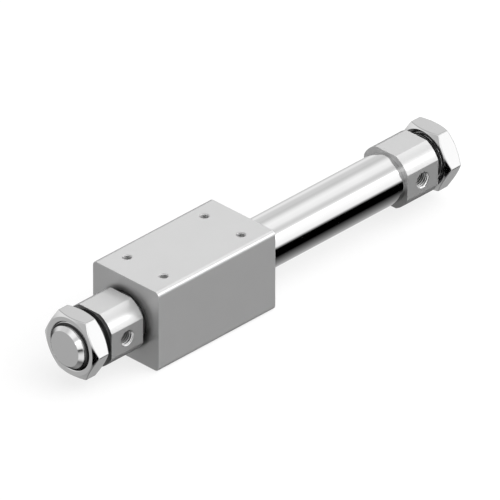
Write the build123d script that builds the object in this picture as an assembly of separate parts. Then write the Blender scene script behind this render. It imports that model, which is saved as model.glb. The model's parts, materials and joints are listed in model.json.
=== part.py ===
from build123d import *
import math
import os

# Rodless pneumatic cylinder, magnetically coupled, basic type.
# Millimetres. +X runs along the tube towards the rear cover, +Z points up out of the
# slider's mounting face, and the origin is on the tube's axis, midway between the covers.
# "Front" is the -X end. The slider stands at the front end of its stroke.

# Travel
stroke = 78.0
end_gap = 2.5  # slider block to head cover, at either end of the stroke
running_clearance = 0.05  # radial, wherever one piece slides or turns on another
seat_clearance = 0.02  # radial, wherever a fixed piece sits in or on another

# Tube
tube_bore = 20.0
tube_wall = 0.8

# Slider block
block_side = 36.0
block_corner_r = 1.6
block_edge_break = 0.4
end_wall = 8.0  # block's front wall, and the end ring that closes its rear
screw_pitch_x = 43.0
screw_pitch_y = 20.0
screw_drill_d = 3.3  # tapping size of M4
screw_mouth_d = 4.2
screw_floor = 0.8  # metal left between a blind screw hole and the magnet bore

# Rings inside the slider, as radial steps outwards from the tube
lip_gap = 0.3
scraper_section = 1.7
scraper_l = 3.2
scraper_web = 1.1
scraper_rim_wall = 0.6
scraper_tip = 0.25
scraper_relief = 0.3
end_lip_l = 0.8  # wall in front of each scraper
slider_ring_section = 4.2
slider_magnet_gap = 0.6
slider_yoke_gap = 0.3
slider_magnet_inset = 0.2
spacer_l = 2.5

# Magnets and yokes, the same lengths outside and inside the tube
magnet_count = 4
magnet_l = 6.0
yoke_l = 4.0

# Retaining ring behind the slider's end ring
snap_ring_t = 1.2
snap_ring_land = 0.8
snap_groove_depth = 0.8
snap_ring_section = 2.2
snap_ring_gap_deg = 26.0
snap_eye_d = 1.1
end_ring_nose_wall = 0.5

# Piston inside the tube
shaft_d = 6.0
shaft_proud = 0.8
piston_head_l = 9.0
piston_head_gap = 0.2
piston_magnet_gap = 0.7
piston_yoke_gap = 0.5
seal_groove_w = 3.0
seal_section = 2.3
seal_heel = 1.2
seal_lip_t = 0.5
seal_lean = 0.15
piston_wear_w = 3.0
piston_wear_section = 1.0
wear_split = 0.8
ring_end_play = 0.05  # axial, for a ring in its groove
shaft_gasket_section = 1.5
piston_nut_af = 10.0
piston_nut_t = 3.2
piston_nut_face_inset = 0.3
piston_nut_mouth = 0.4

# Head covers
cover_l = 17.4
sleeve_wall = 1.2  # cover's wall over the tube, at the flats
cover_corner = 1.2  # turned corners stand this far outside the flats
cover_edge_break = 0.4
tube_grip = 4.2
spigot_reach = 1.0
gasket_land = 1.2
gasket_groove_w = 2.2
gasket_section = 1.8
recess_r = 7.2
recess_clearance = 1.5
bumper_clearance = 0.2
bumper_inset = 0.5
bumper_collar_wall = 0.8
bumper_collar_l = 1.5

# Air ports
port_d = 6.0  # crests of the port's thread
port_mouth_d = 7.3
port_depth = 6.0
passage_d = 5.0

# Mounting thread and nut
boss_d = 20.0
boss_l = 14.0
thread_depth = 0.9
lead_l = 3.4  # plain end ahead of the thread, chamfer included
lead_chamfer = 1.6
nut_wall = 3.0  # nut's wall over the thread, at the flats
nut_t = 8.0
nut_stand_off = 3.2  # room for the mounting plate, between cover and nut
nut_face_inset = 0.6
nut_mouth = 0.8
hex_chamfer_deg = 30.0
hex_blank_margin = 0.5  # the turned blank stands this far outside the hexagon's points

# Sizes that follow
tube_r = tube_bore / 2 + tube_wall
yoke_count = magnet_count + 1
stack_l = magnet_count * magnet_l + yoke_count * yoke_l
block_l = stack_l + 2 * (spacer_l + end_wall)
near_face = stroke / 2 + block_l / 2 + end_gap
tube_l = 2 * (near_face + tube_grip)
slider_x = -stroke / 2
seat_r = tube_r + scraper_section
core_bore_r = tube_r + slider_ring_section
piston_half_l = stack_l / 2 + piston_head_l
bumper_t = block_l / 2 + end_gap - piston_half_l - spigot_reach - bumper_clearance
shaft_end = piston_half_l + piston_nut_t + shaft_proud
cover_flats = 2 * (tube_r + sleeve_wall)
nut_af = boss_d + 2 * nut_wall


def turned(*profile):
    """Solid of revolution about X, from (x, radius) points."""
    return revolve(make_face(Polyline(*profile, close=True)), Axis.X)


def ring(x0, x1, inner_r, outer_r):
    """Plain ring or disc round X, between two stations."""
    return turned((x0, inner_r), (x1, inner_r), (x1, outer_r), (x0, outer_r))


def rod_y(x, y0, y1, r0, r1):
    """Round rod or cone along Y, from radius r0 at y0 to r1 at y1."""
    profile = Polyline((x, y0), (x + r0, y0), (x + r1, y1), (x, y1), close=True)
    return revolve(make_face(profile), Axis((x, 0, 0), (0, 1, 0)))


def hex_nut(x0, thickness, across_flats, bore_r, face_r, mouth):
    """Hexagon nut along X, points at +-Y, chamfered on both faces and countersunk."""
    x1 = x0 + thickness
    corner_r = across_flats / math.sqrt(3) + hex_blank_margin
    slope = (corner_r - face_r) * math.tan(math.radians(hex_chamfer_deg))
    hexagon = RegularPolygon(across_flats / 2, 6, major_radius=False)
    prism = extrude(Plane.YZ.offset(x0) * hexagon, thickness)
    rounded = turned(
        (x0, 0), (x0, face_r), (x0 + slope, corner_r),
        (x1 - slope, corner_r), (x1, face_r), (x1, 0),
    )
    bore = turned(
        (x0, 0), (x0, bore_r + mouth), (x0 + mouth, bore_r),
        (x1 - mouth, bore_r), (x1, bore_r + mouth), (x1, 0),
    )
    return (prism & rounded) - bore


def split(piece, middle_r, width):
    """Cuts a ring across, at its top, as a bearing strip is cut to length."""
    return piece - Pos(0, 0, middle_r) * Box(block_l * 2, width, tube_r)


def cylinder_tube():
    return ring(-tube_l / 2, tube_l / 2, tube_bore / 2, tube_r)


def head_cover():
    """Rear cover: bar with four flats, tube socket, gasket spigot, port and threaded boss.

    Stations are measured outwards from the face that looks at the slider.
    """
    spigot_r = tube_bore / 2 - seat_clearance
    socket_r = tube_r + seat_clearance
    bar_r = cover_flats / 2 + cover_corner
    groove_0 = gasket_land - spigot_reach
    groove_1 = groove_0 + gasket_groove_w
    groove_r = tube_bore / 2 - gasket_section
    boss_r = boss_d / 2
    boss_end = cover_l + boss_l
    thread_end = boss_end - lead_l
    lead_r = boss_r - thread_depth
    shaft_tip = shaft_end - piston_half_l - bumper_t - bumper_clearance - spigot_reach
    recess_end = shaft_tip + recess_clearance
    passage_r = passage_d / 2
    port_x = cover_l / 2
    body = turned(
        (-spigot_reach, recess_r), (-spigot_reach, spigot_r), (groove_0, spigot_r), (groove_0, groove_r),
        (groove_1, groove_r), (groove_1, spigot_r), (tube_grip, spigot_r), (tube_grip, socket_r),
        (0, socket_r), (0, bar_r - cover_edge_break), (cover_edge_break, bar_r),
        (cover_l - cover_edge_break, bar_r), (cover_l, bar_r - cover_edge_break), (cover_l, boss_r),
        (thread_end, boss_r), (thread_end + thread_depth, lead_r), (boss_end - lead_chamfer, lead_r),
        (boss_end, lead_r - lead_chamfer), (boss_end, 0), (port_x + passage_r, 0),
        (port_x + passage_r, passage_r), (recess_end, passage_r), (recess_end, recess_r),
    )
    body &= Box(4 * boss_end, cover_flats, cover_flats)
    face_y = -cover_flats / 2
    mouth = (port_mouth_d - port_d) / 2
    body -= rod_y(port_x, face_y, face_y + port_depth, port_d / 2, port_d / 2)
    body -= rod_y(port_x, face_y, face_y + mouth, port_mouth_d / 2, port_d / 2)
    body -= rod_y(port_x, face_y + port_depth, 0, passage_r, passage_r)
    return Pos(near_face, 0, 0) * body


def mounting_nut():
    x0 = near_face + cover_l + nut_stand_off
    face_r = nut_af / 2 - nut_face_inset
    return hex_nut(x0, nut_t, nut_af, boss_d / 2 + seat_clearance, face_r, nut_mouth)


def tube_gasket():
    """Square-section sealing ring in the spigot's groove."""
    start = near_face - spigot_reach + gasket_land + ring_end_play
    end = start + gasket_groove_w - 2 * ring_end_play
    outer_r = tube_bore / 2 - seat_clearance
    return ring(start, end, tube_bore / 2 - gasket_section + seat_clearance, outer_r)


def bumper():
    """Rubber ring that the piston stops on, held by a collar in the cover's recess."""
    face = near_face - spigot_reach
    inner_r = recess_r - bumper_collar_wall
    collar_r = recess_r - seat_clearance
    outer_r = tube_bore / 2 - bumper_inset
    return turned(
        (face - bumper_t, inner_r), (face - bumper_t, outer_r), (face, outer_r), (face, collar_r),
        (face + bumper_collar_l, collar_r), (face + bumper_collar_l, inner_r),
    )


def slider_block():
    """Square block, bored from the rear, with a wall left at the front for the scraper."""
    half_l = block_l / 2
    top = block_side / 2
    block = Box(block_l, block_side, block_side)
    block = fillet(block.edges().filter_by(Axis.X), block_corner_r)
    ends = block.faces().filter_by(Axis.X)
    block = chamfer(ends.edges(), block_edge_break)
    block -= ring(-half_l, -half_l + end_lip_l, 0, tube_r + lip_gap)
    block -= ring(-half_l + end_lip_l, -half_l + end_wall, 0, seat_r)
    block -= ring(-half_l + end_wall, half_l, 0, core_bore_r)
    groove_x = half_l - snap_ring_land
    block -= ring(groove_x - snap_ring_t, groove_x, 0, core_bore_r + snap_groove_depth)
    mouth = (screw_mouth_d - screw_drill_d) / 2
    drill_r = screw_drill_d / 2
    side = screw_pitch_y / 2 - drill_r
    depth = top - math.sqrt(core_bore_r**2 - side**2) - screw_floor
    drill = Polyline(
        (0, 0), (drill_r + mouth, 0), (drill_r, -mouth), (drill_r, -depth), (0, -depth), close=True
    )
    hole = revolve(make_face(Plane.XZ * drill), Axis.Z)
    for place in GridLocations(screw_pitch_x, screw_pitch_y, 2, 2):
        block -= Pos(0, 0, top) * place * hole
    return block


def slider_end_ring():
    """Closes the rear of the block and holds the rear scraper and wear ring."""
    rear = block_l / 2
    front = rear - end_wall
    shoulder = rear - snap_ring_land - snap_ring_t
    outer_r = core_bore_r - seat_clearance
    nose_r = seat_r + end_ring_nose_wall
    return turned(
        (front, seat_r), (front, outer_r), (shoulder, outer_r), (shoulder, nose_r), (rear, nose_r),
        (rear, tube_r + lip_gap), (rear - end_lip_l, tube_r + lip_gap), (rear - end_lip_l, seat_r),
    )


def slider_snap_ring():
    """Open retaining ring with an eye in each end, gap at the bottom."""
    rear = block_l / 2 - snap_ring_land
    outer_r = core_bore_r + snap_groove_depth - seat_clearance
    inner_r = outer_r - snap_ring_section
    piece = ring(rear - snap_ring_t, rear, inner_r, outer_r)
    half_gap = math.radians(snap_ring_gap_deg / 2)
    reach = 2 * outer_r
    wedge = Polyline(
        (0, 0), (-reach * math.sin(half_gap), -reach * math.cos(half_gap)),
        (reach * math.sin(half_gap), -reach * math.cos(half_gap)), close=True
    )
    piece -= extrude(Plane.YZ.offset(rear - 2 * snap_ring_t) * make_face(wedge), 3 * snap_ring_t)
    middle_r = (outer_r + inner_r) / 2
    eye_angle = half_gap + snap_eye_d / middle_r
    for hand in (-1, 1):
        eye_y = hand * middle_r * math.sin(eye_angle)
        eye_z = -middle_r * math.cos(eye_angle)
        piece -= Pos(rear, eye_y, eye_z) * Rot(0, 90, 0) * Cylinder(snap_eye_d / 2, 4 * snap_ring_t)
    return piece


def scraper():
    """Rear wiper: a heel and rim in the seat, and a lip that leans in to the tube."""
    rear = block_l / 2 - end_lip_l
    front = rear - scraper_l
    rim_r = seat_r - seat_clearance
    lip_r = tube_r + running_clearance
    return turned(
        (front, lip_r + scraper_relief), (front, rim_r), (rear, rim_r), (rear, rim_r - scraper_rim_wall),
        (front + scraper_web, rim_r - scraper_rim_wall), (rear, lip_r + scraper_tip), (rear, lip_r),
    )


def slider_wear_ring():
    rear = block_l / 2 - end_lip_l - scraper_l
    front = block_l / 2 - end_wall
    piece = ring(front, rear, tube_r + running_clearance, seat_r - seat_clearance)
    return split(piece, tube_r + scraper_section / 2, wear_split)


def slider_spacer():
    front = stack_l / 2
    inner_r = tube_r + slider_yoke_gap
    return ring(front, front + spacer_l, inner_r, core_bore_r - running_clearance)


def stack_rings(first_x, length, count, inner_r, outer_r):
    """Like rings of the magnet stack, a magnet's and a yoke's length apart."""
    starts = [first_x + index * (magnet_l + yoke_l) for index in range(count)]
    return [ring(start, start + length, inner_r, outer_r) for start in starts]


def piston_shaft():
    shaft_r = shaft_d / 2
    bevel = shaft_proud / 2
    return turned(
        (-shaft_end, 0), (-shaft_end, shaft_r - bevel), (-shaft_end + bevel, shaft_r),
        (shaft_end - bevel, shaft_r), (shaft_end, shaft_r - bevel), (shaft_end, 0),
    )


def piston_land():
    """Width of each of the three lands beside the piston's two grooves."""
    return (piston_head_l - seal_groove_w - piston_wear_w) / 3


def piston_head():
    """Rear piston: outer groove for the seal, inner groove for the wear ring."""
    inner = stack_l / 2
    outer = piston_half_l
    head_r = tube_bore / 2 - piston_head_gap
    seal_floor = tube_bore / 2 - seal_section
    wear_floor = tube_bore / 2 - piston_wear_section
    hole_r = shaft_d / 2 + seat_clearance
    gasket_r = hole_r + shaft_gasket_section
    wear_0 = inner + piston_land()
    wear_1 = wear_0 + piston_wear_w
    seal_0 = wear_1 + piston_land()
    seal_1 = seal_0 + seal_groove_w
    return turned(
        (inner, gasket_r), (inner, head_r), (wear_0, head_r), (wear_0, wear_floor), (wear_1, wear_floor),
        (wear_1, head_r), (seal_0, head_r), (seal_0, seal_floor), (seal_1, seal_floor), (seal_1, head_r),
        (outer, head_r), (outer, hole_r), (inner + shaft_gasket_section, hole_r),
        (inner + shaft_gasket_section, gasket_r),
    )


def piston_seal():
    """Rear U-section seal: heel inwards, two lips that open towards the rear cover."""
    heel = piston_half_l - piston_land() - seal_groove_w + ring_end_play
    mouth = heel + seal_groove_w - 2 * ring_end_play
    lip_r = tube_bore / 2 - running_clearance
    floor_r = tube_bore / 2 - seal_section + seat_clearance
    return turned(
        (heel, floor_r), (heel, lip_r - seal_lean), (mouth, lip_r), (mouth, lip_r - seal_lip_t),
        (heel + seal_heel, (lip_r + floor_r) / 2), (mouth, floor_r + seal_lip_t), (mouth, floor_r),
    )


def piston_wear_ring():
    start = stack_l / 2 + piston_land() + ring_end_play
    floor_r = tube_bore / 2 - piston_wear_section + seat_clearance
    outer_r = tube_bore / 2 - running_clearance
    piece = ring(start, start + piston_wear_w - 2 * ring_end_play, floor_r, outer_r)
    return split(piece, tube_bore / 2, wear_split)


def shaft_gasket():
    """Square-section sealing ring between piston and shaft."""
    start = stack_l / 2
    hole_r = shaft_d / 2 + seat_clearance
    outer_r = hole_r + shaft_gasket_section - seat_clearance
    return ring(start, start + shaft_gasket_section - ring_end_play, hole_r, outer_r)


def piston_nut():
    face_r = piston_nut_af / 2 - piston_nut_face_inset
    bore_r = shaft_d / 2 + seat_clearance
    return hex_nut(piston_half_l, piston_nut_t, piston_nut_af, bore_r, face_r, piston_nut_mouth)


pieces = {"cylinder_tube": cylinder_tube()}
for name, piece in (
    ("head_cover", head_cover()),
    ("mounting_nut", mounting_nut()),
    ("tube_gasket", tube_gasket()),
    ("bumper", bumper()),
):
    pieces[f"front_{name}"] = mirror(piece, Plane.YZ)
    pieces[f"rear_{name}"] = piece

at_slider = Pos(slider_x, 0, 0)
for name, piece in (
    ("slider_block", slider_block()),
    ("slider_end_ring", slider_end_ring()),
    ("slider_snap_ring", slider_snap_ring()),
    ("piston_shaft", piston_shaft()),
):
    pieces[name] = at_slider * piece
for name, piece in (
    ("scraper", scraper()),
    ("slider_wear_ring", slider_wear_ring()),
    ("slider_spacer", slider_spacer()),
    ("piston", piston_head()),
    ("piston_seal", piston_seal()),
    ("piston_wear_ring", piston_wear_ring()),
    ("shaft_gasket", shaft_gasket()),
    ("piston_nut", piston_nut()),
):
    pieces[f"front_{name}"] = at_slider * mirror(piece, Plane.YZ)
    pieces[f"rear_{name}"] = at_slider * piece

bore_r = tube_bore / 2
shaft_hole_r = shaft_d / 2 + seat_clearance
first_yoke = -stack_l / 2
first_magnet = first_yoke + yoke_l
stacks = {
    "slider_magnet": (first_magnet, magnet_l, magnet_count, tube_r + slider_magnet_gap,
                      core_bore_r - slider_magnet_inset),
    "slider_yoke": (first_yoke, yoke_l, yoke_count, tube_r + slider_yoke_gap,
                    core_bore_r - running_clearance),
    "piston_magnet": (first_magnet, magnet_l, magnet_count, shaft_hole_r, bore_r - piston_magnet_gap),
    "piston_yoke": (first_yoke, yoke_l, yoke_count, shaft_hole_r, bore_r - piston_yoke_gap),
}
for name, sizes in stacks.items():
    for number, piece in enumerate(stack_rings(*sizes), 1):
        pieces[f"{name}_{number}"] = at_slider * piece

os.makedirs("parts", exist_ok=True)
for name, piece in pieces.items():
    export_step(piece, f"parts/{name}.step")
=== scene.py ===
import json
import math
from itertools import cycle

import bmesh
import bpy
from mathutils import Matrix, Vector


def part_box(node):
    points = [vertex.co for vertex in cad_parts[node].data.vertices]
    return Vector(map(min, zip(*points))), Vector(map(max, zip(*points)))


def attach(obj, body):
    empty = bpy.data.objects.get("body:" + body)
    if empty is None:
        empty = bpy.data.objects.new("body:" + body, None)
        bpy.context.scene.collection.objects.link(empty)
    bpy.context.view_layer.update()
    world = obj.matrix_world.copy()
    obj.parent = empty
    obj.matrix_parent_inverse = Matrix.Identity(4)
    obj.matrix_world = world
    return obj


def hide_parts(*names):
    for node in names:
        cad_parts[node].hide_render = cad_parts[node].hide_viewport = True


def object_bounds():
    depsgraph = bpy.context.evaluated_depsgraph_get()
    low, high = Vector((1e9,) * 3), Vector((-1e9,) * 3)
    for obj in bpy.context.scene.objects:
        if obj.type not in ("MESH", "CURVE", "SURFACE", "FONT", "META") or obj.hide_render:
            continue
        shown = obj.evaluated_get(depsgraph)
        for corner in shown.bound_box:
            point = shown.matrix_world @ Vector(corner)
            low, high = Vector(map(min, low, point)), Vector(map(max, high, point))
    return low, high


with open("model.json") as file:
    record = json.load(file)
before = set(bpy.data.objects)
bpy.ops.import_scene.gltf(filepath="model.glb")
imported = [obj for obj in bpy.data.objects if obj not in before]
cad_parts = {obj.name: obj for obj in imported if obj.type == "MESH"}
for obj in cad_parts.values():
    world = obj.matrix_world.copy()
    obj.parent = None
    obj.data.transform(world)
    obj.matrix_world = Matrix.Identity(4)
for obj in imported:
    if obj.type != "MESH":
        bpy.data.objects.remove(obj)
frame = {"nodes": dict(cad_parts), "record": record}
cad_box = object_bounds()

# Shapes are worked out in millimetres about the tube's axis, X, and scaled to metres.
MM = 0.001


def span(name):
    """Low X, high X and greatest Y of a CAD node."""
    low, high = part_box(name)
    return low.x / MM, high.x / MM, high.y / MM


def mount(name):
    """Place and sizes of one of the record's mounts."""
    found = next(m for m in frame["record"]["mounts"] if m["name"] == name)
    return Vector(found["pos_m"]) / MM, found["dims"]


# Sizes that the frame gives
block_0, block_1, block_half = span("slider_block")
block_x = (block_0 + block_1) / 2
tube_0, tube_1, tube_r = span("cylinder_tube")
spigot_x, boss_end, cover_half = span("rear_head_cover")
nut_0, nut_1 = span("rear_mounting_nut")[:2]
port_at, port_dims = mount("rear_port")
port_r = port_dims["r_mm"]
screws_at, screw_dims = mount("load_screws")
floor_z = cad_box[0][2] / MM

# Meshing: what merges, the angles between flat neighbours and at a sharp edge, and how much the
# flats weigh in the normals
MERGE = 0.0001
FLAT_DEG = 0.05
SHARP_DEG = 50.0
FLATS_WEIGHT = 100
# Steps round the axis, in degrees
TURN_STEP = 2.0
TUBE_STEP = 1.5
SCREW_STEP = 7.5
BLOCK_CORNER_STEP = 0.6
BLOCK_SIDE_STEP = 2.2

# Rounding of edges: its reach, the most that it takes of a side, its steps, and its middle ring
EDGE = 0.15
EDGE_SHARE = 0.4
EDGE_STEPS = 3
EDGE_MIDDLE = 0.06

# Tube and covers. The rear cover is drawn, from its spigot outwards.
TUBE_WALL = 0.8
SPIGOT_REACH = 1.0
SPIGOT_R = 9.9
COVER_L = 17.4
CORNER_R = cover_half + 1.2
CORNER_BREAK_DEG = 0.5
SOCKET_DEPTH = 4.2
RECESS_R = 7.2
RECESS_DEPTH = 4.0
SEAT = 0.008
cover_near = spigot_x + SPIGOT_REACH
cover_face = cover_near + COVER_L

# Ports
PORT_DEPTH = 6.0
PORT_CONE = 0.3
PORT_MOUTH_R = 3.65
PORT_PITCH = 1.0
PORT_THREAD_R = 3.5
PORT_THREAD_FROM = -0.6
PORT_THREAD_L = PORT_DEPTH + 0.4
PASSAGE_R = 2.5

# Boss thread, M20 x 1.5, and its nut
BOSS_R = 10.0
BOSS_PITCH = 1.5
BOSS_THREAD_DEPTH = 0.88
BOSS_THREAD_GAP = 0.9
BOSS_THREAD_OVERRUN = 2.0
LEAD_R = 9.1
LEAD_L = 3.4
LEAD_CHAMFER = 1.6
NUT_AF = 26.0
NUT_FACE_R = 12.4
NUT_MOUTH = 0.8
NUT_SLOPE = math.tan(math.radians(30))
NUT_FACE_BREAK = 0.08
NUT_CORNER_DEG = 0.8
# Rings where the nut's chamfer meets its flats: how far back from the chamfer, and inside the flats
NUT_CRESTS = ((-0.16, 0.28), (-0.03, 0.07), (0.2, 0.0))

# Slider block
BLOCK_CORNER = 2.2
BLOCK_END_EDGE = 0.2
BORE_EDGE = 0.1
END_WALL = 8.0
CORE_BORE_R = 15.0
LIP_GAP = 0.3
END_LIP = 0.8
SEAT_R = tube_r + 1.7
SNAP_LAND = 0.8
SNAP_T = 1.2
SNAP_GROOVE_R = 15.8

# The block's screw holes
SCREW_R = 1.65
SCREW_MAJOR_R = 2.0
SCREW_PITCH = 0.7
SCREW_DEPTH = 5.2
SCREW_MOUTH = 0.45
SCREW_CONE = 0.5
SCREW_THREAD_FROM = -0.5
SCREW_THREAD_L = SCREW_DEPTH + 0.2

# Thread grooves: overlap with the space that they open into, width there, and width at the root
PORT_GROOVE = (0.06, 0.84, 0.14)
BOSS_GROOVE = (0.06, 1.4, 0.25)
SCREW_GROOVE = (0.05, 0.6, 0.1)
# Turns over which a groove runs out, its least share of the full depth, and steps in a turn
GROOVE_FADE = 0.4
GROOVE_LEAST = 0.03
GROOVE_STEPS = 64
SCREW_GROOVE_STEPS = 36
# How far a hole's cutter reaches outside the face
OUTSIDE = 1.0


def angles(breaks, *steps):
    """Angles round the axis, in radians, through the given degrees and in steps between them."""
    found = []
    for start, end, step in zip(breaks, breaks[1:] + [breaks[0] + 360], cycle(steps)):
        count = max(1, round((end - start) / step))
        found += [math.radians(start + (end - start) * i / count) for i in range(count)]
    return found


def at(item, angle):
    """Value of a number, or of a function of the angle."""
    return item(angle) if callable(item) else item


def link(name, mesh):
    """New object in the scene."""
    made = bpy.data.objects.new(name, mesh)
    bpy.context.scene.collection.objects.link(made)
    return made


def mesh_object(name, bm):
    """Makes the object from a mesh in millimetres."""
    bmesh.ops.recalc_face_normals(bm, faces=bm.faces)
    bmesh.ops.scale(bm, vec=(MM, MM, MM), verts=bm.verts)
    mesh = bpy.data.meshes.new(name)
    bm.to_mesh(mesh)
    bm.free()
    return link(name, mesh)


def skin(bm, row, after):
    """Faces between two rows of points."""
    for j in range(len(row)):
        k = (j + 1) % len(row)
        bm.faces.new((row[j], row[k], after[k], after[j]))


def solid(name, rings, turns, place=Matrix.Identity(4)):
    """Closed mesh round X. A ring is (x, radius), and each is a number or a function of the angle."""
    bm = bmesh.new()
    grid = []
    for x, radius in rings:
        row = []
        for angle in turns:
            r = at(radius, angle)
            point = Vector((at(x, angle), r * math.cos(angle), r * math.sin(angle)))
            row.append(bm.verts.new(place @ point))
        grid.append(row)
    for row, after in zip(grid, grid[1:] + grid[:1]):
        skin(bm, row, after)
    bmesh.ops.remove_doubles(bm, verts=bm.verts, dist=MERGE)
    bmesh.ops.dissolve_limit(
        bm, angle_limit=math.radians(FLAT_DEG), verts=bm.verts, edges=bm.edges
    )
    return mesh_object(name, bm)


def soft(profile):
    """The profile with each corner off the axis rounded."""
    points = []
    for i, corner in enumerate(profile):
        if corner[1] == 0:
            points.append(corner)
            continue
        here = Vector(corner)
        before = Vector(profile[i - 1]) - here
        after = Vector(profile[(i + 1) % len(profile)]) - here
        start = here + before.normalized() * min(EDGE, EDGE_SHARE * before.length)
        end = here + after.normalized() * min(EDGE, EDGE_SHARE * after.length)
        for step in range(EDGE_STEPS + 1):
            t = step / EDGE_STEPS
            point = start * (1 - t) ** 2 + here * 2 * t * (1 - t) + end * t * t
            points.append((point.x, point.y))
    return points


def soft_open(profile):
    """Rounds a run of rings, apart from its first corner."""
    return profile[:1] + soft(profile)[EDGE_STEPS + 1:]


def thread_cutter(start, length, pitch, crest_r, root_r, groove, fades, steps=GROOVE_STEPS):
    """Groove cutter on a right-handed helix about X. fades is in turns, at the start and the end."""
    overlap, crest_w, root_w = groove
    base_r = crest_r + math.copysign(overlap, crest_r - root_r)
    turns = length / pitch
    bm = bmesh.new()
    rows = []
    for i in range(round(turns * steps) + 1):
        turn = i / steps
        depth = 1.0
        if fades[0]:
            depth = min(depth, turn / fades[0])
        if fades[1]:
            depth = min(depth, (turns - turn) / fades[1])
        depth = max(depth, GROOVE_LEAST)
        tip = base_r + (root_r - base_r) * depth
        half_tip = (crest_w + (root_w - crest_w) * depth) / 2
        x = start + pitch * turn
        section = (
            (x - crest_w / 2, base_r),
            (x - half_tip, tip),
            (x + half_tip, tip),
            (x + crest_w / 2, base_r),
        )
        angle = 2 * math.pi * turn
        rows.append([
            bm.verts.new((sx, r * math.cos(angle), r * math.sin(angle))) for sx, r in section
        ])
    for row, after in zip(rows, rows[1:]):
        skin(bm, row, after)
    bm.faces.new(rows[0])
    bm.faces.new(rows[-1])
    return bm


def cutter_object(bm, place=Matrix.Identity(4)):
    """Puts a groove cutter in its place."""
    bmesh.ops.transform(bm, matrix=place, verts=bm.verts)
    return mesh_object("cutter", bm)


def hole_start(hole_r, mouth):
    """Start of a hole's cutter, outside the face, and its 45 degree mouth."""
    return [(-OUTSIDE, 0), (-OUTSIDE, hole_r + mouth + OUTSIDE), (mouth, hole_r)]


def apply_modifiers(piece):
    """Turns the piece's modifiers into its mesh."""
    graph = bpy.context.evaluated_depsgraph_get()
    mesh = bpy.data.meshes.new_from_object(piece.evaluated_get(graph))
    mesh.name = piece.name
    piece.modifiers.clear()
    piece.data = mesh


def carve(piece, cutters):
    """Cuts each cutter out of the piece."""
    for cutter in cutters:
        cut = piece.modifiers.new("cut", "BOOLEAN")
        cut.operation = "DIFFERENCE"
        cut.solver = "EXACT"
        cut.object = cutter
        apply_modifiers(piece)
        bpy.data.objects.remove(cutter)


def shade(piece):
    """Smooth faces, sharp corners, and normals that keep the flats flat."""
    bm = bmesh.new()
    bm.from_mesh(piece.data)
    for face in bm.faces:
        face.smooth = True
    for edge in bm.edges:
        edge.smooth = edge.is_manifold and edge.calc_face_angle() < math.radians(SHARP_DEG)
    bm.to_mesh(piece.data)
    bm.free()
    weighted = piece.modifiers.new("weighted", "WEIGHTED_NORMAL")
    weighted.keep_sharp = True
    weighted.weight = FLATS_WEIGHT
    apply_modifiers(piece)


def settle(piece, body, slot, *nodes):
    """Shades a piece, and puts it on its body in place of its CAD node."""
    shade(piece)
    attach(piece, body)
    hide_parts(*nodes)
    piece.data.materials.clear()
    piece.data.materials.append(materials[slot])


def turned_copy(piece, name):
    """The piece for the other end, turned half round about Y, so that threads stay right-handed."""
    mesh = piece.data.copy()
    mesh.name = name
    mesh.transform(Matrix.Rotation(math.pi, 4, "Y"))
    return link(name, mesh)


def make_tube():
    bore_r = tube_r - TUBE_WALL
    profile = [(tube_0, bore_r), (tube_0, tube_r), (tube_1, tube_r), (tube_1, bore_r)]
    tube = solid("tube", soft(profile), angles([0.0], TUBE_STEP))
    settle(tube, "tube_assembly", "tube_stainless", "cylinder_tube")


def side_rings(low, high, section, edge):
    """Rings along a piece's outside, with both end edges broken."""
    steps = [(0.0, edge), (EDGE_MIDDLE, EDGE_MIDDLE), (edge, 0.0)]
    rings = [(low + step, section(inset)) for step, inset in steps]
    return rings + [(high - step, section(inset)) for step, inset in reversed(steps)]


def flatted(inset):
    """Radius of the covers' turned bar with its four flats, at an angle."""
    half = cover_half - inset
    radius = CORNER_R - inset
    return lambda angle: min(radius, half / max(abs(math.cos(angle)), abs(math.sin(angle))))


def cover_rings():
    """Rings of the rear cover, from its air passage outwards and round."""
    passage_x = port_at.x + PASSAGE_R
    recess_x = cover_near + RECESS_DEPTH
    socket_x = cover_near + SOCKET_DEPTH
    lead_x = boss_end - LEAD_L
    rings = [
        (passage_x, 0), (passage_x, PASSAGE_R), (recess_x, PASSAGE_R), (recess_x, RECESS_R),
        (spigot_x, RECESS_R), (spigot_x, SPIGOT_R), (socket_x, SPIGOT_R), (socket_x, tube_r + SEAT),
        (cover_near, tube_r + SEAT),
    ]
    boss = [
        (lead_x, BOSS_R), (lead_x + (BOSS_R - LEAD_R), LEAD_R), (boss_end - LEAD_CHAMFER, LEAD_R),
        (boss_end, LEAD_R - LEAD_CHAMFER),
    ]
    rings += side_rings(cover_near, cover_face, flatted, EDGE)
    return rings + [(cover_face, BOSS_R)] + soft_open(boss) + [(boss_end, 0)]


def port_cutters():
    """A port's bore with its mouth, and its thread's groove."""
    to_port = Matrix.Translation((port_at.x, -cover_half, 0)) @ Matrix.Rotation(math.pi / 2, 4, "Z")
    hole = hole_start(port_r, PORT_MOUTH_R - port_r) + [
        (PORT_DEPTH, port_r), (PORT_DEPTH + PORT_CONE, PASSAGE_R), (cover_half, PASSAGE_R),
        (cover_half, 0),
    ]
    bore = solid("cutter", hole, angles([0.0], TURN_STEP), to_port)
    groove = thread_cutter(PORT_THREAD_FROM, PORT_THREAD_L, PORT_PITCH, port_r, PORT_THREAD_R,
                           PORT_GROOVE, (0, GROOVE_FADE))
    return [bore, cutter_object(groove, to_port)]


def boss_cutter():
    """Groove of the boss's thread."""
    start = cover_face + BOSS_THREAD_GAP
    length = boss_end - LEAD_L + BOSS_THREAD_OVERRUN - start
    return cutter_object(
        thread_cutter(start, length, BOSS_PITCH, BOSS_R, BOSS_R - BOSS_THREAD_DEPTH,
                      BOSS_GROOVE, (GROOVE_FADE, 0))
    )


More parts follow.
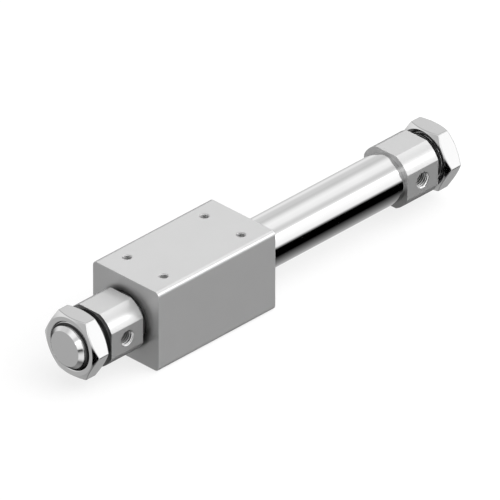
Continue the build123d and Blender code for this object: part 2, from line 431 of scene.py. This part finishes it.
def make_covers():
    corner = math.degrees(math.acos(cover_half / CORNER_R))
    breaks = []
    for middle in (0.0, 90.0, 180.0, 270.0):
        for start in (middle - corner, middle + corner):
            breaks += [start - CORNER_BREAK_DEG, start + CORNER_BREAK_DEG]
    cover = solid("rear_cover", cover_rings(), angles(breaks, TURN_STEP))
    carve(cover, port_cutters() + [boss_cutter()])
    front = turned_copy(cover, "front_cover")
    settle(cover, "tube_assembly", "cover_aluminium", "rear_head_cover")
    settle(front, "tube_assembly", "cover_aluminium", "front_head_cover")


def hexagon(inset):
    """Radius of the nut's hexagon, corners at +-Y, at an angle."""
    half = NUT_AF / 2 - inset
    return lambda angle: half / math.cos(angle % (math.pi / 3) - math.pi / 6)


def nut_chamfer(face, inwards, back):
    """X of the nut's chamfer where the hexagon ends, at an angle, and moved back from its face."""
    hex_r = hexagon(0)
    return lambda angle: face + inwards * ((hex_r(angle) - NUT_FACE_R) * NUT_SLOPE + back)


def nut_end(face, inwards):
    """Rings of one end of a nut, from its bore outwards. inwards is 1 or -1."""
    bore_r = BOSS_R + SEAT
    rings = [
        (face + inwards * NUT_MOUTH, bore_r),
        (face, bore_r + NUT_MOUTH),
        (face, NUT_FACE_R - NUT_FACE_BREAK),
        (face + inwards * NUT_FACE_BREAK / 2, NUT_FACE_R + NUT_FACE_BREAK),
    ]
    return rings + [(nut_chamfer(face, inwards, back), hexagon(inset)) for back, inset in NUT_CRESTS]


def make_nuts():
    breaks = []
    for side in range(6):
        breaks += [60.0 * side - NUT_CORNER_DEG, 60.0 * side + NUT_CORNER_DEG]
    rings = nut_end(nut_0, 1) + nut_end(nut_1, -1)[::-1]
    nut = solid("rear_nut", rings, angles(breaks, TURN_STEP))
    front = turned_copy(nut, "front_nut")
    settle(nut, "tube_assembly", "nut_plated_steel", "rear_mounting_nut")
    settle(front, "tube_assembly", "nut_plated_steel", "front_mounting_nut")


def rounded_square(inset):
    """Radius of the block's section, at an angle."""
    half = block_half - inset
    corner = BLOCK_CORNER - inset / 2
    core = half - corner

    def radius(angle):
        low, high = sorted((abs(math.cos(angle)), abs(math.sin(angle))))
        side = half / high
        inside = corner**2 - core**2 * (high - low) ** 2
        if inside <= 0:
            return side
        arc = core * (high + low) + math.sqrt(inside)
        return arc if low * arc > core else side

    return radius


def block_rings():
    """Rings of the block, from its lip on the tube over the outside to its bored rear end."""
    lip_r = tube_r + LIP_GAP
    groove = block_1 - SNAP_LAND
    rings = [(block_0 + END_LIP, lip_r), (block_0 + BORE_EDGE, lip_r), (block_0, lip_r + BORE_EDGE)]
    rings += side_rings(block_0, block_1, rounded_square, BLOCK_END_EDGE)
    return rings + [
        (block_1, CORE_BORE_R + BORE_EDGE), (block_1 - BORE_EDGE, CORE_BORE_R),
        (groove, CORE_BORE_R), (groove, SNAP_GROOVE_R),
        (groove - SNAP_T, SNAP_GROOVE_R), (groove - SNAP_T, CORE_BORE_R),
        (block_0 + END_WALL, CORE_BORE_R), (block_0 + END_WALL, SEAT_R), (block_0 + END_LIP, SEAT_R),
    ]


def screw_cutters(x, y):
    """A screw hole, and its thread's groove."""
    down = Matrix.Translation((x, y, screws_at.z)) @ Matrix.Rotation(math.pi / 2, 4, "Y")
    hole = hole_start(SCREW_R, SCREW_MOUTH) + [(SCREW_DEPTH, SCREW_R), (SCREW_DEPTH + SCREW_CONE, 0)]
    bore = solid("cutter", hole, angles([0.0], SCREW_STEP), down)
    groove = thread_cutter(SCREW_THREAD_FROM, SCREW_THREAD_L, SCREW_PITCH, SCREW_R, SCREW_MAJOR_R,
                           SCREW_GROOVE, (0, GROOVE_FADE), SCREW_GROOVE_STEPS)
    return [bore, cutter_object(groove, down)]


def make_block():
    first = math.degrees(math.atan2(block_half - BLOCK_CORNER, block_half))
    breaks = []
    for quarter in range(4):
        breaks += [90.0 * quarter + first, 90.0 * (quarter + 1) - first]
    turns = angles(breaks, BLOCK_CORNER_STEP, BLOCK_SIDE_STEP)
    block = solid("block", block_rings(), turns)
    cutters = []
    for dx in (-0.5, 0.5):
        for dy in (-0.5, 0.5):
            x = screws_at.x + dx * screw_dims["spacing_x_mm"]
            cutters += screw_cutters(x, dy * screw_dims["spacing_y_mm"])
    carve(block, cutters)
    settle(block, "slider", "block_anodised", "slider_block")


def node(tree, kind, inputs=None, **settings):
    """A shader node. Inputs are sockets to link or values to set."""
    made = tree.nodes.new("ShaderNode" + kind)
    for key, value in settings.items():
        setattr(made, key, value)
    for key, value in (inputs or {}).items():
        if isinstance(value, bpy.types.NodeSocket):
            tree.links.new(value, made.inputs[key])
        else:
            made.inputs[key].default_value = value
    return made


def math_node(tree, operation, *values):
    return node(tree, "Math", dict(enumerate(values)), operation=operation).outputs["Value"]


def product(tree, first, *others):
    for other in others:
        first = math_node(tree, "MULTIPLY", first, other)
    return first


def greatest(tree, first, *others):
    for other in others:
        first = math_node(tree, "MAXIMUM", first, other)
    return first


def magnitude(tree, value):
    """The value without its sign."""
    return math_node(tree, "ABSOLUTE", value)


def above(tree, value, limit):
    """1 where the value is over a limit in millimetres."""
    return math_node(tree, "GREATER_THAN", value, limit * MM)


def below(tree, value, limit):
    """1 where the value is under a limit in millimetres."""
    return math_node(tree, "LESS_THAN", value, limit * MM)


def smooth(tree, value, start, end, low=0.0, high=1.0):
    """Low to high, smoothly, as the value goes from start to end."""
    ranged = node(tree, "MapRange", {"Value": value, "From Min": start, "From Max": end,
                                     "To Min": low, "To Max": high},
                  interpolation_type="SMOOTHSTEP")
    return ranged.outputs["Result"]


def fade(tree, value, zero_at, one_at):
    """0 to 1 between two values in millimetres."""
    return smooth(tree, value, zero_at * MM, one_at * MM)


def mix(tree, factor, low, high):
    """Mix of two numbers."""
    return node(tree, "Mix", {0: factor, 2: low, 3: high}).outputs[0]


def from_line(tree, a, b):
    """Distance from a line, from the two coordinates across it."""
    squares = [math_node(tree, "POWER", part, 2.0) for part in (a, b)]
    return math_node(tree, "SQRT", math_node(tree, "ADD", *squares))


def place_parts(tree):
    """X, Y and Z over the piece."""
    coords = node(tree, "TexCoord").outputs["Object"]
    parts = node(tree, "SeparateXYZ", {"Vector": coords}).outputs
    return parts["X"], parts["Y"], parts["Z"]


# Grain: coarse for the colour, with its spread on the ramp, and fine for roughness and relief
WIDE_GRAIN = 60.0
GRAIN_DETAIL = 3.0
GRAIN_ROUGH = 0.6
GRAIN_LOW, GRAIN_HIGH = 0.3, 0.7
RELIEF_DEPTH = 0.00002
SHEEN = 0.5
SATIN_RIM = 0.1


def grain(tree, stretch, scale):
    """Noise over the piece in the row frame, drawn out along an axis."""
    coords = node(tree, "TexCoord").outputs["Object"]
    mapped = node(tree, "Mapping", {"Vector": coords, "Scale": stretch}).outputs["Vector"]
    noise = node(tree, "TexNoise", {"Vector": mapped, "Scale": scale, "Detail": GRAIN_DETAIL,
                                    "Roughness": GRAIN_ROUGH})
    return noise.outputs["Fac"]


def between(tree, factor, low, high):
    """The grain's middle part mapped to a range of values."""
    ranged = node(tree, "MapRange", {"Value": factor, "From Min": GRAIN_LOW, "From Max": GRAIN_HIGH,
                                     "To Min": low, "To Max": high})
    return ranged.outputs["Result"]


def tint(tree, factor, color, spread):
    """Base colour that wanders by a small share about its mean."""
    ramp = node(tree, "ValToRGB", {"Fac": factor})
    low, high = ramp.color_ramp.elements
    for element, place, side in ((low, GRAIN_LOW, -1), (high, GRAIN_HIGH, 1)):
        element.position = place
        element.color = [channel * (1 + side * spread) for channel in color] + [1]
    return ramp.outputs["Color"]


# Bare metal where a piece was cut after its surface treatment: its share, and its roughness
MACHINED_ROUGH = 0.08
PORT_BARE = 0.35
EDGE_BARE = 0.8
EDGE_ROUGH = 0.3
# Where the block's rounded long edges turn bare, from the start of the rounding, across Y and Z
EDGE_FADE_Y = (-0.1, 0.3)
EDGE_FADE_Z = (0.5, 1.3)
# Screw holes' mouths: soft lower edge, depth where they start, and distance from the rounded edges
MOUTH_BLUR = 0.05
MOUTH_TOP = (0.02, 0.06)
MOUTH_CLEAR = 0.2

# Painted shade: its dark colour and roughness, and how strong it is in each place
SHADE_COLOR = (0.05, 0.05, 0.05, 1)
SHADE_ROUGH = 0.4
PORT_SHADE = 0.55
OUTER_FACE_SHADE = 0.6
INNER_FACE_SHADE = 0.4
SCRAPER_SHADE = 0.85
RIM_SHADE = 0.3
# Reach of the painted shade, in millimetres: where it starts, and where it is full
GROOVE_SHADE_DEPTH = (0.08, 0.3)
THREAD_SHADE_REACH = (1.6, 1.1)
PORT_SHADE_DEPTH = (2.3, 2.6)
INNER_SHADE_Z = (4.0, -4.0)
SCRAPER_SHADE_REACH = (3.7, 0.6)
# Skins of the covers' faces and of the block's ends that a zone takes in, and their soft edges
FACE_CLEAR = 0.01
FACE_SKIN = 0.2
FACE_BLUR = 0.04
INNER_FACE_SKIN = 0.05
END_SKIN = 0.1
END_BLUR = 0.05
# How far the painted shade in the boss thread goes on beyond the nut
CREVICE = 0.4
# Painted dark line on a nut's flats, standing in for the dark reflection of its rounded edges:
# nearness to the flat, to the chamfer and to the corners
RIM_SKIN = (0.2, 0.1)
RIM_BY_CHAMFER = (0.4, 0.15)
RIM_BY_CORNER = (0.25, 0.1)


def in_port(tree, y, z, reach):
    """1 in a cover's port."""
    from_port = from_line(tree, math_node(tree, "SUBTRACT", reach, port_at.x * MM), z)
    return product(tree, below(tree, from_port, PORT_MOUTH_R), below(tree, y, 0.0))


def cover_machined(tree):
    """1 on a cover's threaded boss, and part of the way in its port."""
    x, y, z = place_parts(tree)
    reach = magnitude(tree, x)
    past_face = above(tree, reach, cover_face + FACE_CLEAR)
    return greatest(tree, past_face, product(tree, in_port(tree, y, z, reach), PORT_BARE))


def cover_painted_shade(tree):
    """Painted shade in the boss thread, behind the nut, deep in the port and low on the inner face."""
    x, y, z = place_parts(tree)
    reach = magnitude(tree, x)
    radius = from_line(tree, y, z)
    threaded = product(tree, above(tree, reach, cover_face + FACE_SKIN),
                       below(tree, reach, nut_1 + CREVICE))
    in_groove = fade(tree, radius, *[BOSS_R - depth for depth in GROOVE_SHADE_DEPTH])
    behind_nut = product(tree, fade(tree, reach, cover_face - FACE_BLUR, cover_face),
                         below(tree, reach, cover_face + FACE_SKIN))
    by_thread = fade(tree, radius, *[BOSS_R + reached for reached in THREAD_SHADE_REACH])
    deep = fade(tree, y, *[depth - cover_half for depth in PORT_SHADE_DEPTH])
    inner_face = below(tree, reach, cover_near + INNER_FACE_SKIN)
    low = fade(tree, z, *INNER_SHADE_Z)
    return greatest(
        tree,
        product(tree, in_groove, threaded),
        product(tree, behind_nut, greatest(tree, by_thread, OUTER_FACE_SHADE)),
        product(tree, in_port(tree, y, z, reach), product(tree, deep, PORT_SHADE)),
        product(tree, inner_face, product(tree, low, INNER_FACE_SHADE)),
    )


def block_end(tree, x):
    """1 on the block's end faces."""
    from_middle = magnitude(tree, math_node(tree, "SUBTRACT", x, block_x * MM))
    skin_start = (block_1 - block_0) / 2 - END_SKIN
    return fade(tree, from_middle, skin_start - END_BLUR, skin_start)


def block_machined(tree):
    """Part of the way to bare metal on the block's rounded long edges and its screw holes' mouths."""
    x, y, z = place_parts(tree)
    start = block_half - BLOCK_CORNER
    mouth = block_half - SCREW_MOUTH
    from_center = magnitude(tree, y)
    long_edge = product(
        tree,
        fade(tree, from_center, *[start + step for step in EDGE_FADE_Y]),
        fade(tree, magnitude(tree, z), *[start + step for step in EDGE_FADE_Z]),
        math_node(tree, "SUBTRACT", 1.0, block_end(tree, x)),
    )
    in_mouth = product(
        tree,
        fade(tree, z, mouth - MOUTH_BLUR, mouth + MOUTH_BLUR),
        fade(tree, z, *[block_half - depth for depth in MOUTH_TOP]),
        below(tree, from_center, start - MOUTH_CLEAR),
    )
    return product(tree, greatest(tree, long_edge, in_mouth), EDGE_BARE)


def scraper_painted_shade(tree):
    """Painted shade on the block's ends, round the tube."""
    x, y, z = place_parts(tree)
    near_tube = fade(tree, from_line(tree, y, z), *[tube_r + reached for reached in SCRAPER_SHADE_REACH])
    return product(tree, near_tube, block_end(tree, x), SCRAPER_SHADE)


def nut_painted_rims(tree):
    """Painted dark line along the edges of a mounting nut's flats, standing in for a dark reflection.
    """
    x, y, z = place_parts(tree)
    reach = magnitude(tree, x)
    radius = from_line(tree, y, z)
    level = product(tree, y, math.cos(math.pi / 6))
    slant = product(tree, z, math.sin(math.pi / 6))
    across = [magnitude(tree, math_node(tree, way, level, slant)) for way in ("ADD", "SUBTRACT")]
    outwards = greatest(tree, *across, magnitude(tree, z))
    on_flat = fade(tree, outwards, *[NUT_AF / 2 - depth for depth in RIM_SKIN])
    from_ends = math_node(tree, "MINIMUM", math_node(tree, "SUBTRACT", nut_1 * MM, reach),
                          math_node(tree, "SUBTRACT", reach, nut_0 * MM))
    from_face_edge = math_node(tree, "SUBTRACT", radius, NUT_FACE_R * MM)
    chamfer = product(tree, from_face_edge, NUT_SLOPE)
    by_chamfer = fade(tree, math_node(tree, "SUBTRACT", from_ends, chamfer), *RIM_BY_CHAMFER)
    corner_r = NUT_AF / 2 / math.cos(math.pi / 6)
    by_corner = fade(tree, radius, *[corner_r - depth for depth in RIM_BY_CORNER])
    return product(tree, greatest(tree, by_chamfer, by_corner), on_flat, RIM_SHADE)


def finish(name, color, spread, metal, rough, stretch, scale, bump, machined=None, painted_shade=None,
           bare_rough=MACHINED_ROUGH):
    """Principled finish whose colour, roughness and relief follow a drawn-out grain.

    machined gives the factor of the bare, bright zones that were cut after the surface treatment,
    and painted_shade that of the places where shade is painted in as a dark colour. Where the finish
    isn't metal all through, it is satin, which reflects little at a low angle.
    """
    material = bpy.data.materials.new(name)
    material.use_nodes = True
    tree = material.node_tree
    tree.nodes.clear()
    fine = grain(tree, stretch, scale)
    relief = node(tree, "Bump", {"Height": fine, "Strength": bump, "Distance": RELIEF_DEPTH})
    base = tint(tree, grain(tree, (1, 1, 1), WIDE_GRAIN), color, spread)
    metallic = metal
    roughness = between(tree, fine, *rough)
    if machined:
        bare = machined(tree)
        metallic = mix(tree, bare, metal, 1.0)
        roughness = mix(tree, bare, roughness, bare_rough)
    if painted_shade:
        # Painted shade: the base colour goes dark, and the roughness changes, where the mask is 1
        shaded = painted_shade(tree)
        base = node(tree, "Mix", {0: shaded, 6: base, 7: SHADE_COLOR}, data_type="RGBA").outputs[2]
        roughness = mix(tree, shaded, roughness, SHADE_ROUGH)
    satin = metal not in (0.0, 1.0)
    shader = node(tree, "BsdfPrincipled", {
        "Base Color": base,
        "Metallic": metallic,
        "Roughness": roughness,
        "Normal": relief.outputs["Normal"],
        "Specular IOR Level": 0.0 if satin else SHEEN,
        "Specular Tint": (*[SATIN_RIM if satin else 1.0] * 3, 1),
    })
    output = node(tree, "OutputMaterial", {"Surface": shader.outputs["BSDF"]})
    output.is_active_output = True
    return material


# Each finish: base colour and its spread, share of metal, range of roughness, and the fine grain's
# stretch, scale and strength
LOOKS = {
    "tube_stainless": dict(
        color=(0.60, 0.60, 0.60), spread=0.02, metal=1.0, rough=(0.05, 0.09),
        stretch=(1, 0.05, 0.05), scale=4000.0, bump=0.05,
    ),
    "block_anodised": dict(
        color=(0.61, 0.61, 0.61), spread=0.01, metal=0.45, rough=(0.33, 0.35),
        stretch=(0.2, 1, 1), scale=9000.0, bump=0.005,
        machined=block_machined, painted_shade=scraper_painted_shade, bare_rough=EDGE_ROUGH,
    ),
    "cover_aluminium": dict(
        color=(0.61, 0.61, 0.61), spread=0.01, metal=0.5, rough=(0.25, 0.27),
        stretch=(1, 0.2, 0.2), scale=9000.0, bump=0.004,
        machined=cover_machined, painted_shade=cover_painted_shade,
    ),
    "nut_plated_steel": dict(
        color=(0.60, 0.60, 0.60), spread=0.02, metal=1.0, rough=(0.10, 0.15),
        stretch=(1, 1, 1), scale=3000.0, bump=0.05, painted_shade=nut_painted_rims,
    ),
    "ring_steel": dict(
        color=(0.22, 0.22, 0.23), spread=0.08, metal=1.0, rough=(0.30, 0.42),
        stretch=(1, 1, 1), scale=3000.0, bump=0.15,
    ),
    "turned_aluminium": dict(
        color=(0.66, 0.66, 0.66), spread=0.03, metal=1.0, rough=(0.25, 0.35),
        stretch=(1, 0.1, 0.1), scale=5000.0, bump=0.15,
    ),
    "seal_rubber": dict(
        color=(0.022, 0.022, 0.022), spread=0.2, metal=0.0, rough=(0.50, 0.65),
        stretch=(1, 1, 1), scale=2500.0, bump=0.3,
    ),
    "wear_ring_plastic": dict(
        color=(0.30, 0.20, 0.11), spread=0.15, metal=0.0, rough=(0.45, 0.6),
        stretch=(1, 0.2, 0.2), scale=3000.0, bump=0.3,
    ),
    "magnet_nickel": dict(
        color=(0.58, 0.58, 0.59), spread=0.03, metal=1.0, rough=(0.15, 0.25),
        stretch=(1, 1, 1), scale=2500.0, bump=0.1,
    ),
    "yoke_steel": dict(
        color=(0.45, 0.45, 0.46), spread=0.06, metal=1.0, rough=(0.25, 0.4),
        stretch=(1, 1, 1), scale=2500.0, bump=0.2,
    ),
    "shaft_stainless": dict(
        color=(0.62, 0.62, 0.62), spread=0.02, metal=1.0, rough=(0.12, 0.2),
        stretch=(1, 0.1, 0.1), scale=4000.0, bump=0.1,
    ),
}

# Floor
FLOOR_HALF = 6000.0
FLOOR_COLOR = (0.99, 0.99, 0.99)
FLOOR_GLOW = 0.78


def floor_paper():
    """Matt white paper. To the camera, part of its white doesn't depend on the light."""
    material = bpy.data.materials.new("floor_paper")
    material.use_nodes = True
    tree = material.node_tree
    tree.nodes.clear()
    paper = node(tree, "BsdfDiffuse", {"Color": (*FLOOR_COLOR, 1)})
    white = node(tree, "Emission", {"Color": (1, 1, 1, 1), "Strength": 1.0})
    share = product(tree, node(tree, "LightPath").outputs["Is Camera Ray"], FLOOR_GLOW)
    both = node(tree, "MixShader", {0: share, 1: paper.outputs["BSDF"], 2: white.outputs["Emission"]})
    node(tree, "OutputMaterial", {"Surface": both.outputs["Shader"]})
    return material


def make_floor():
    """Wide floor. The room's lower half stands in for it in reflections and in bounced light."""
    signs = ((-1, -1), (1, -1), (1, 1), (-1, 1))
    corners = [Vector((sx * FLOOR_HALF, sy * FLOOR_HALF, floor_z)) * MM for sx, sy in signs]
    mesh = bpy.data.meshes.new("floor")
    mesh.from_pydata(corners, [], [range(len(corners))])
    mesh.materials.append(floor_paper())
    floor = link("floor", mesh)
    floor.visible_glossy = False
    floor.visible_diffuse = False


# Room's level by the angle about X, in degrees from level on the ports' side up over the top
ROOM_PEAK = 3.5
ROOM = (
    (-180, 1.15), (-165, 0.75), (-140, 0.64), (-125, 0.60), (-101, 0.49), (-45, 0.0), (-11, 0.0),
    (-6, 0.45), (0, 1.4), (7, 1.48), (20, 1.62), (29, 1.62), (33, 3.5), (41, 3.5), (47, 1.45),
    (53, 1.12), (59, 1.0), (66, 1.05), (78, 1.4), (98, 1.5), (110, 1.3), (120, 1.0), (128, 0.9),
    (136, 0.97), (153, 0.99), (170, 1.25), (180, 1.15),
)
# Its level beyond the tube's ends, and the share of X in a direction where that begins and is full
ROOM_END = 0.73
END_COS = (0.8, 0.98)
# Dark flag, low at the front end, that shows in the nuts' chamfers
FLAG_AT = (-0.82, -0.23, -0.52)
FLAG_COS = (0.93, 0.97)
# Soft strip that shows in the bevels between the front faces and the ports' side
STRIP_AT = (-0.3, -0.78, -0.52)
STRIP_COS = (0.8, 0.95)
STRIP = 1.3
# Soft lamps that light whatever isn't seen in a mirror: where each is, and its level
DOME = (
    ((0.0, -0.5, 0.87), 0.63),
    ((0.5, 0.0, 0.87), 1.58),
    ((0.43, -0.75, 0.5), 2.08),
    ((0.87, -0.5, 0.0), 1.15),
    ((0.0, 1.0, 0.0), 0.95),
    ((-0.87, 0.5, 0.0), 0.98),
    ((-0.43, 0.75, 0.5), 0.21),
)
DOME_EDGE = 0.6
HORIZON = (-0.25, 0.1)


def towards(tree, ray, way):
    """How nearly a ray goes a way: 1 along it, 0 across it."""
    return node(tree, "VectorMath", {0: ray, 1: way}, operation="DOT_PRODUCT").outputs["Value"]


def room_level(tree, ray):
    """Soft panels that run along the tube, and one plain level beyond its two ends."""
    parts = node(tree, "SeparateXYZ", {"Vector": ray}).outputs
    angle = math_node(tree, "ARCTAN2", parts["Z"], product(tree, parts["Y"], -1.0))
    turn = node(tree, "MapRange", {"Value": angle, "From Min": -math.pi, "From Max": math.pi})
    ramp = node(tree, "ValToRGB", {"Fac": turn.outputs["Result"]})
    elements = ramp.color_ramp.elements
    while len(elements) < len(ROOM):
        elements.new(0.5)
    for element, (degrees, level) in zip(elements, ROOM):
        element.position = (degrees + 180) / 360
        element.color = [level / ROOM_PEAK] * 3 + [1]
    panels = product(tree, ramp.outputs["Color"], ROOM_PEAK)
    level = mix(tree, smooth(tree, magnitude(tree, parts["X"]), *END_COS), panels, ROOM_END)
    clear_of_flag = smooth(tree, towards(tree, ray, FLAG_AT), *FLAG_COS, 1.0, 0.0)
    strip = smooth(tree, towards(tree, ray, STRIP_AT), *STRIP_COS, 0.0, STRIP)
    return math_node(tree, "ADD", product(tree, level, clear_of_flag), strip)


def dome_level(tree, ray):
    """Sum of the soft lamps, over the horizon."""
    total = 0.0
    for way, level in DOME:
        lamp = smooth(tree, towards(tree, ray, way), DOME_EDGE, 1.0, 0.0, level)
        total = math_node(tree, "ADD", total, lamp)
    height = node(tree, "SeparateXYZ", {"Vector": ray}).outputs["Z"]
    return product(tree, total, smooth(tree, height, *HORIZON))


def make_world():
    """White to the camera, a room with soft panels to its reflections, and a soft dome to the rest."""
    world = bpy.data.worlds.new("studio")
    bpy.context.scene.world = world
    world.use_nodes = True
    world.cycles.sampling_method = "NONE"
    tree = world.node_tree
    tree.nodes.clear()
    ray = node(tree, "TexCoord").outputs["Generated"]
    path = node(tree, "LightPath").outputs
    mirrored = greatest(tree, path["Is Glossy Ray"], path["Is Transmission Ray"])
    direct = math_node(tree, "LESS_THAN", path["Diffuse Depth"], 0.5)
    levels = (dome_level(tree, ray), room_level(tree, ray), 1.0)
    dome, room, white = [
        node(tree, "Background", {"Color": (1, 1, 1, 1), "Strength": level}).outputs["Background"]
        for level in levels
    ]
    lit = node(tree, "MixShader", {0: product(tree, mirrored, direct), 1: dome, 2: room})
    seen = node(tree, "MixShader", {0: path["Is Camera Ray"], 1: lit.outputs["Shader"], 2: white})
    node(tree, "OutputWorld", {"Surface": seen.outputs["Shader"]})


# The photo's view, in degrees, the width that it takes in, and where it is aimed, in millimetres
CAMERA_AZ = -45.67
CAMERA_EL = 31.5
FRAME_WIDTH = 195.6
AIM_RIGHT = -1.64
AIM_UP = -0.94
SENSOR = 36.0
LENS = 1500.0
# In metres
CLIP_START = 0.1
CLIP_END = 100


def make_camera():
    """Long lens from the photo's angle, aimed so that the object lies in the frame as there."""
    az, el = math.radians(CAMERA_AZ), math.radians(CAMERA_EL)
    back = Vector((math.sin(az) * math.cos(el), -math.cos(az) * math.cos(el), math.sin(el)))
    right = Vector((math.cos(az), math.sin(az), 0))
    up = back.cross(right)
    data = bpy.data.cameras.new("camera")
    data.sensor_width = SENSOR
    data.lens = LENS
    data.clip_start = CLIP_START
    data.clip_end = CLIP_END
    distance = FRAME_WIDTH * LENS / SENSOR
    place = right * AIM_RIGHT + up * AIM_UP + back * distance
    turn = Matrix((right, up, back)).transposed().to_4x4()
    camera = link("camera", data)
    camera.matrix_world = Matrix.Translation(place * MM) @ turn
    bpy.context.scene.camera = camera


materials = {name: finish(name, **look) for name, look in LOOKS.items()}
make_tube()
make_covers()
make_nuts()
make_block()

for part in frame["record"]["subparts"]:
    mesh = frame["nodes"][part["node"]].data
    mesh.materials.clear()
    mesh.materials.append(materials[part["material_slot"]])

make_floor()
make_world()
make_camera()
bpy.context.scene.view_settings.view_transform = "Standard"
